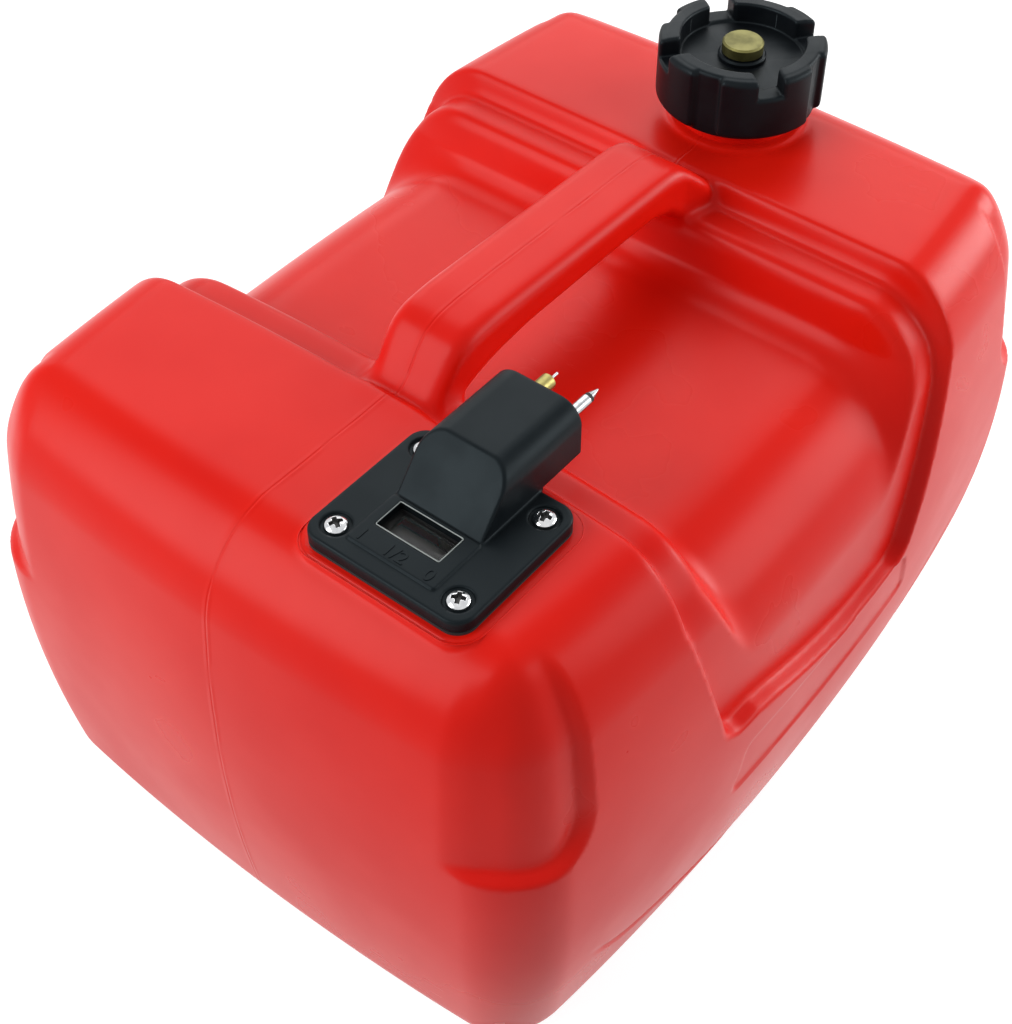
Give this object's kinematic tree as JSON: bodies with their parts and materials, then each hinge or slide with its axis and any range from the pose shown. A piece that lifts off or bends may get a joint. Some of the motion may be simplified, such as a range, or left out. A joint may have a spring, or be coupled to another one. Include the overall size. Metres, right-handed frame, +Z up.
{
  "type": "portable fuel tank",
  "caption": "Portable outboard fuel tank with a moulded carry handle, screw filler cap with vent screw, and a float gauge unit with hose fittings.",
  "frame": {"origin": "centre of the tank's bottom face, on the ground", "axes": "+X along the tank towards the filler cap, +Y across it away from the gauge unit's side, +Z up"},
  "size_m": [0.3536, 0.274, 0.238],
  "materials": {
    "red_shell": "satin",
    "black_rubber": "matt",
    "brass": "turned",
    "knob_brass": "turned",
    "black_plastic": "satin",
    "cap_plastic": "satin",
    "bright_screws": "polished",
    "clear_window": "clear",
    "natural_plastic": "satin",
    "white_plastic": "satin",
    "steel": "bright",
    "float_foam": "matt",
    "dark_mesh": "matt"
  },
  "bodies": {
    "tank": {"tank_body": "red_shell", "tank_upper": "red_shell", "carry_handle": "red_shell", "filler_neck": "red_shell", "plate_gasket": "black_rubber", "screw_inserts": "brass", "gauge_housing": "black_plastic", "housing_screws": "bright_screws", "window_lens": "clear_window", "lens_seal": "black_rubber", "drum_bracket": "natural_plastic", "bracket_screws": "steel", "drum_pin": "steel", "pickup_tube": "natural_plastic", "tube_seal": "black_rubber", "pickup_strainer": "dark_mesh", "fuel_nipple": "brass", "check_spring": "steel", "guide_pin": "steel", "guide_seal": "black_rubber"},
    "gauge_arm": {"indicator_drum": "white_plastic", "float_arm": "steel", "gauge_float": "float_foam", "float_clips": "steel"},
    "check_pin": {"check_pin": "steel"},
    "cap_gasket": {"cap_gasket": "black_rubber"},
    "filler_cap": {"filler_cap": "cap_plastic", "vent_boss": "cap_plastic"},
    "vent_seal": {"vent_seal": "black_rubber"},
    "vent_screw": {"vent_screw": "knob_brass", "vent_clip": "steel"}
  },
  "joints": [
    {"name": "float_swing", "type": "hinge", "parent": "tank", "child": "gauge_arm", "pos_m": [-0.1287, -0.0397, 0.198], "axis": [0, 1, 0], "range_deg": [-35, 25]},
    {"name": "check_press", "type": "slide", "parent": "tank", "child": "check_pin", "axis": [-1, 0, 0], "range_m": [0, 0.0025], "stiffness_N_per_m": 400, "springref_m": -0.003, "deforming": ["check_spring"]},
    {"name": "cap_rise", "type": "slide", "parent": "tank", "child": "cap_gasket", "axis": [0, 0, 1], "range_m": [0, 0.024]},
    {"name": "cap_turn", "type": "hinge", "parent": "cap_gasket", "child": "filler_cap", "pos_m": [0.126, 0, 0.2235], "axis": [0, 0, 1], "range_deg": [0, 1440]},
    {"name": "vent_rise", "type": "slide", "parent": "filler_cap", "child": "vent_seal", "axis": [0, 0, 1], "range_m": [0, 0.002]},
    {"name": "vent_turn", "type": "hinge", "parent": "vent_seal", "child": "vent_screw", "pos_m": [0.126, 0, 0.232], "axis": [0, 0, 1], "range_deg": [0, 720]}
  ],
  "couplings": [
    {"joint": "cap_rise", "follows": "cap_turn", "m_per_rad": 0.00095493},
    {"joint": "vent_rise", "follows": "vent_turn", "m_per_rad": 0.00015915}
  ]
}
